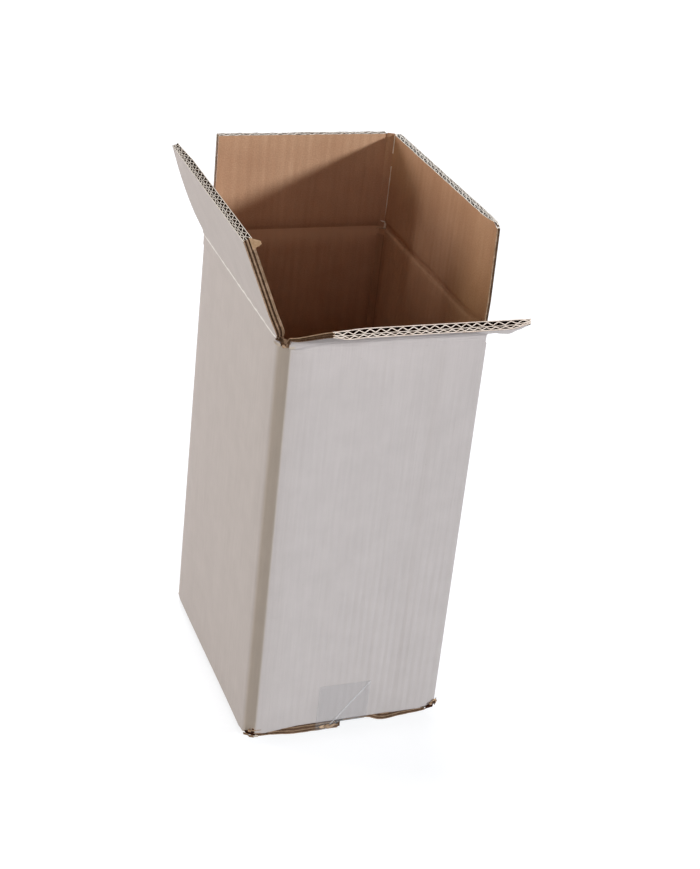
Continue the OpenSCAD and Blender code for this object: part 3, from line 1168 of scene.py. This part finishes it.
def slot_strip(side, place, run, length):
    bm = bmesh.new()
    across = bm.verts.layers.float.new("along")
    up = bm.verts.layers.float.new("height")
    points = [(-run / 2 + 0.8 * MM, board_t - 0.6 * MM), (-run / 2 - 0.4 * MM, board_t + 0.1 * MM),
              (-run / 2 - 2.6 * MM, board_t + 1.0 * MM), (-run / 2 - 4.9 * MM, board_t + 1.9 * MM),
              (-run / 2 - 5.7 * MM, board_t + 3.6 * MM)]
    chain = []
    for x, depth in points:
        vert = bm.verts.new((x, depth, -7 * MM))
        vert[across] = x + run_start[side]
        chain.append(vert)
    row = join_points(bm, chain)
    for _ in range(STRIP_STEPS):
        row, _ = grow(bm, row, (0, 0, (length + 8 * MM) / STRIP_STEPS))
    for vert in bm.verts:
        vert[up] = vert.co.z + side_crease_h
        if vert.co.x < -run / 2 - 4 * MM:
            vert.co.x += 0.3 * MM * wobble(0.0, vert.co.z * 130, 5.0)
    lay_flat_uv(bm, across, up)
    bmesh.ops.transform(bm, matrix=place, verts=bm.verts)
    face_out(bm, place @ Vector((-run / 2, board_t, length / 2)), place.to_3x3() @ Vector((0, 1, 0)))
    border = run_start[side] - run / 2 - 4 * MM
    # Painted light: the strip's outer lip takes the bright paper in patches, for the light that it catches.
    for face in bm.faces:
        lip = sum(v[across] for v in face.verts) / len(face.verts) < border - 0.9 * MM
        height = face.calc_center_median().z
        painted_light_patch = height < 0.415 or wobble(0.0, height * 60, 9.0) > -0.2
        face.material_index = PAINTED_LIGHT if lip and painted_light_patch else BROWN
    obj = mesh_object("slot_strip", bm, FLAP_PAPERS)
    return [thicken(obj, 1.2 * MM, -1)]


print("slot strip:", STRIP_STEPS, "steps")

# %% [markdown]
# The left flap's front corner is torn, and its brown paper curls over. A small grid is pulled to a point
# and given a ragged lower edge.

# %% Torn corner of the left flap
def torn_corner(side, place, run, length):
    bm = bmesh.new()
    bmesh.ops.create_grid(bm, x_segments=4, y_segments=4, size=0.5)
    across = bm.verts.layers.float.new("along")
    up = bm.verts.layers.float.new("height")
    for vert in bm.verts:
        a, b = vert.co.x + 0.5, vert.co.y + 0.5
        ragged = 0.12 * wobble(a * 3.1, b * 2.7, 6.0)
        tall = 10 * MM * (1 - 0.75 * a) * (1 + ragged)
        vert[across], vert[up] = a * 0.01, b * 0.01
        vert.co = (run / 2 + 1.2 * MM + a * 3 * MM, board_t - 2.0 * MM + 6.5 * a * MM,
                   length + 1.0 * MM - 4.0 * MM * a - tall * (1 - b))
    lean_with_flap(bm, side)
    lay_flat_uv(bm, across, up)
    bmesh.ops.transform(bm, matrix=place, verts=bm.verts)
    face_out(bm, place @ Vector((run / 2, board_t, length)), place.to_3x3() @ Vector((0, 1, 0)))
    for face in bm.faces:
        face.material_index = TORN
    obj = mesh_object("torn_corner", bm, FLAP_PAPERS)
    return [thicken(obj, 0.5 * MM, 0, sharp=8)]


print("torn corner ready")

# %% [markdown]
# The front flap's free corner was stood on. Its white paper came loose there and buckled, so a crumpled
# lip of paper hangs under the cut edge, deepest near the corner.

# %% Buckled end of the front flap
LIP_STEPS = 23


def buckled_end(side, place, run, length):
    bm = bmesh.new()
    across = bm.verts.layers.float.new("along")
    up = bm.verts.layers.float.new("height")
    span = 46 * MM
    chain = []
    for i in range(LIP_STEPS + 1):
        x = run / 2 - span * (1 - i / LIP_STEPS)
        vert = bm.verts.new((x, 0.3 * MM, length + 0.1 * MM))
        vert[across] = x + run_start[side]
        chain.append(vert)
    rows = [chain]
    row = join_points(bm, chain)
    for back in (1.2 * MM, 7 * MM):
        row, verts = grow(bm, row, (0, 0, -back))
        rows.append(verts)
    for n, verts in enumerate(rows):
        for vert in verts:
            x = vert.co.x
            deep = smooth((x - run / 2 + span) / (20 * MM))
            deep *= 1 - 0.7 * smooth((x - run / 2 + 9 * MM) / (9 * MM))
            deep *= 2.0 * MM * (0.8 + 0.7 * wobble(x * 190, n * 0.7, 4.4))
            vert.co.x = flap_edge(side, x, vert.co.z, run / 2)
            vert.co.y = wear(side, x, length, run, length, 0.2 * MM) - (0.0, deep, 0.5 * deep)[n]
            frill = (0, 0.8 * MM, 0)[n] * wobble(x * 260, 1.0, 2.2)
            vert.co.z += round_off(side, x, length, run / 2, length) + frill
            vert[up] = vert.co.z + side_crease_h
    lean_with_flap(bm, side)
    lay_flat_uv(bm, across, up)
    bmesh.ops.transform(bm, matrix=place, verts=bm.verts)
    bmesh.ops.recalc_face_normals(bm, faces=bm.faces)
    tip = run_start[side] + run / 2 - 3.5 * MM
    for face in bm.faces:
        middle = sum(v[across] for v in face.verts) / len(face.verts)
        face.material_index = CRUSHED if middle > tip else WHITE
    obj = mesh_object("buckled_end", bm, FLAP_PAPERS)
    return [thicken(obj, 0.4 * MM, 0, rim=CUT, sharp=15)]


print("buckled end:", LIP_STEPS, "steps")

# %% [markdown]
# Each flap takes its scraps with it, so they turn as it turns.

# %% Build the flaps
EXTRAS = {"back": (slot_strip,), "left": (torn_corner,), "front": (buckled_end,)}
flaps = [build_flap(side, EXTRAS.get(side, ())) for side in SIDES]
for flap in flaps:
    print(flap.name, len(flap.data.polygons), "faces")

# %% [markdown]
# ## The tape
# The tape is a strip of clear film. It lies under the base and turns up the front and back walls. Film
# shows mostly by its gloss and its creases, so the finish has a low opacity, a slight unevenness and one
# slanting fold line on the front, which is a bump along a line in X and Z. Where it turns under the front
# edge on the right, painted shade makes it dark and nearly opaque.

# %% Clear film
def clear_film():
    mat, tree, shader = new_material("clear_film")
    spot = tree.nodes.new("ShaderNodeTexCoord").outputs["Object"]
    x, y, z = axes_of(tree, spot)
    cloud = grain(tree, spot, 120.0, 3.0, 0.6)
    shader.inputs["Roughness"].default_value = 0.25
    aside = calc(tree, "MULTIPLY_ADD", calc(tree, "SUBTRACT", x, 0.0225), 0.782,
                 calc(tree, "MULTIPLY", calc(tree, "SUBTRACT", z, 0.051), -0.624))
    fold = between(tree, calc(tree, "ABSOLUTE", aside), 0.0009, 0.0)
    # Painted shade: where the film turns under the front edge, it is dark and nearly opaque, for the shade
    # under the box.
    behind_front = between(tree, y, -half_d - 0.3 * MM, -half_d + 0.4 * MM)
    under = calc(tree, "MULTIPLY", behind_front, between(tree, y, -0.08, -0.1))
    under = calc(tree, "MULTIPLY", under, between(tree, x, -8 * MM, -3 * MM))
    seen = calc(tree, "MULTIPLY_ADD", fold, 0.3, 0.09)
    tree.links.new(calc(tree, "MULTIPLY_ADD", under, 0.7, seen), shader.inputs["Alpha"])
    clear = tint(tree, cloud, (0.50, 0.51, 0.54), (0.66, 0.67, 0.70))
    folded = tint(tree, fold, clear, (0.95, 0.95, 0.95))
    tree.links.new(tint(tree, under, folded, (0.10, 0.11, 0.115)), shader.inputs["Base Color"])
    raise_by(tree, shader, calc(tree, "MULTIPLY_ADD", fold, 0.0001, calc(tree, "MULTIPLY", cloud, 0.0002)))
    return mat


film = clear_film()
print("finish:", film.name)

# %% [markdown]
# The film is drawn as its section from front to back, and grown across its width. Where it is stuck to the
# front it is nearly flat, and on the right it is drawn in under the base.

# %% Build the tape
TAPE_STEPS = 12
front_extra = 10 * MM
under_base = -0.08 * MM


def tape_path(x, top):
    """Section of the tape from front to back, at a place along the box's width."""
    face = half_d + 0.42 * MM
    tight = smooth((x + 9 * MM) / (10 * MM))
    turn = (1 - tight) * 5.4 * MM + tight * 11 * MM
    edge = layer_step + climb(x) + 0.6 * MM
    return [(-face, top), (-face, (top + edge) / 2), (-face, edge),
            (-face + 0.2 * MM + 4 * MM * tight, turn - 2.5 * MM * tight), (-face + 16 * MM, turn * 0.5),
            (-face + 60 * MM, under_base), (0, under_base), (side_run / 2, under_base),
            (face, layer_step + 1 * MM), (face, top - front_extra)]


def build_tape():
    _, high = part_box("bottom_tape")
    half_tape, top = high[0], high[2] + front_extra
    bm = bmesh.new()
    step = bm.verts.layers.int.new("step")
    chain = []
    for i, (y, z) in enumerate(tape_path(-half_tape, top)):
        vert = bm.verts.new((-half_tape, y, z))
        vert[step] = i
        chain.append(vert)
    row = join_points(bm, chain)
    for _ in range(TAPE_STEPS):
        row, _ = grow(bm, row, (2 * half_tape / TAPE_STEPS, 0, 0))
    for vert in bm.verts:
        x = vert.co.x
        y, z = tape_path(x, top)[vert[step]]
        if abs(y) > half_d:
            y += math.copysign(0.12 * MM, y) * wobble(x * 110, z * 110, 2.0)
            x += 0.6 * MM * wobble(x * 60, z * 90, 4.0)
        vert.co = (x, y, z)
    face_out(bm, Vector((0, -half_d, top / 2)), Vector((0, -1, 0)))
    obj = mesh_object("bottom_tape_film", bm, [film])
    return thicken(obj, 0.06 * MM, 0)


tape = build_tape()
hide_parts("bottom_tape")
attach(tape, "carton")
print(tape.name, len(tape.data.polygons), "faces")

# %% [markdown]
# ## Light, floor and camera
# The box stands on a pale floor in front of white. Both are only white to rays that come straight from the
# camera, or through gloss and film: to the box itself the floor is a mid grey and the sky nearly dark,
# so that the lamps alone set its shades.

# %% Floor and world
SKY = 0.02
FLOOR_GLOW = 0.8


def seen_directly(tree):
    """1 for rays from the camera, or by way of gloss or a clear film, and 0 for light on the box."""
    path = tree.nodes.new("ShaderNodeLightPath")
    direct = calc(tree, "ADD", path.outputs["Is Camera Ray"], path.outputs["Is Glossy Ray"])
    return calc(tree, "ADD", direct, path.outputs["Is Transmission Ray"])


def build_floor():
    mat, tree, shader = new_material("pale_floor")
    shader.inputs["Base Color"].default_value = (0.30, 0.31, 0.335, 1)
    shader.inputs["Roughness"].default_value = 0.9
    shader.inputs["Emission Color"].default_value = (1, 1, 1, 1)
    glow = calc(tree, "MULTIPLY", seen_directly(tree), FLOOR_GLOW)
    tree.links.new(glow, shader.inputs["Emission Strength"])
    bm = bmesh.new()
    bmesh.ops.create_grid(bm, x_segments=1, y_segments=1, size=8.0)
    bmesh.ops.translate(bm, verts=bm.verts, vec=(0, 0, -0.2 * MM))
    obj = mesh_object("floor", bm, [mat])
    return obj


def build_world():
    world = bpy.data.worlds.new("pale_sky")
    bpy.context.scene.world = world
    world.use_nodes = True
    tree = world.node_tree
    sky = tree.nodes["Background"]
    sky.inputs["Color"].default_value = (1, 1, 1, 1)
    glow = calc(tree, "MULTIPLY_ADD", seen_directly(tree), 1 - SKY, SKY)
    tree.links.new(glow, sky.inputs["Strength"])
    return world


print(build_floor().name, "and", build_world().name)

# %% [markdown]
# The key light comes from the right and the front, low enough for the right flap to throw a slanted shadow
# on the back flap. A weak sun overhead reaches the inside. Soft panels on the left, beside, in front and
# behind give each wall its own faint tint, and leave the corner strip on the left dim.

# %% Lamps
def add_lamp(name, kind, place, target, energy, colour, size):
    data = bpy.data.lights.new(name, kind)
    data.energy = energy
    data.color = colour
    if kind == "SUN":
        data.angle = size
    else:
        data.shape = "SQUARE"
        data.size = size
    obj = bpy.data.objects.new(name, data)
    bpy.context.collection.objects.link(obj)
    way = Vector(target) - Vector(place)
    obj.matrix_world = Matrix.Translation(place) @ way.to_track_quat("-Z", "Y").to_matrix().to_4x4()
    return obj


heart = Vector((0, 0, 0.22))
towards_key = Vector((1.0, -0.9, 0.433)).normalized()
add_lamp("key", "SUN", heart + towards_key * 2, heart, 2.94, (0.90, 0.963, 1.0), math.radians(6))
add_lamp("overhead", "SUN", heart + Vector((-0.1, 0.16, 2)), heart, 1.15, (1.0, 1.0, 1.0), math.radians(12))
add_lamp("left_fill", "AREA", (-1.9, 1.2, 0.72), heart, 25.0, (1.0, 0.945, 0.935), 0.7)
add_lamp("side_fill", "AREA", (-2.0, -0.6, 0.58), heart, 9.2, (1.0, 0.965, 0.76), 0.6)
add_lamp("front_fill", "AREA", (-0.3, -2.3, 0.9), heart, 7.9, (1.0, 0.85, 0.86), 1.2)
add_lamp("back_fill", "AREA", (1.0, 2.3, 0.7), heart, 11.0, (1.0, 1.0, 1.0), 1.0)

# %% [markdown]
# The camera stands where the photo was taken from, turned a little, because the photo leans. Its place
# was found by matching the corners of the box.

# %% Camera
FOCAL_PX = 1584.4
FRAME_PX = 869
view_az, view_el, view_roll = (math.radians(a) for a in (-22.81, 28.323, 6.626))
look_at = Vector((24.96, 0, 223.02)) * MM
distance = 1324.6 * MM


def build_camera():
    back = Vector((math.sin(view_az) * math.cos(view_el), -math.cos(view_az) * math.cos(view_el),
                   math.sin(view_el)))
    right = Vector((0, 0, 1)).cross(back).normalized()
    up = back.cross(right)
    rolled_right = math.cos(view_roll) * right + math.sin(view_roll) * up
    rolled_up = -math.sin(view_roll) * right + math.cos(view_roll) * up
    data = bpy.data.cameras.new("camera")
    data.sensor_width = 36
    data.lens = FOCAL_PX * data.sensor_width / FRAME_PX
    data.clip_start = 0.05
    obj = bpy.data.objects.new("camera", data)
    bpy.context.collection.objects.link(obj)
    axes = Matrix((rolled_right, rolled_up, back)).transposed().to_4x4()
    obj.matrix_world = Matrix.Translation(look_at + back * distance) @ axes
    bpy.context.scene.camera = obj
    return obj


print("camera lens:", round(build_camera().data.lens, 2))
bpy.context.scene.view_settings.view_transform = "Standard"
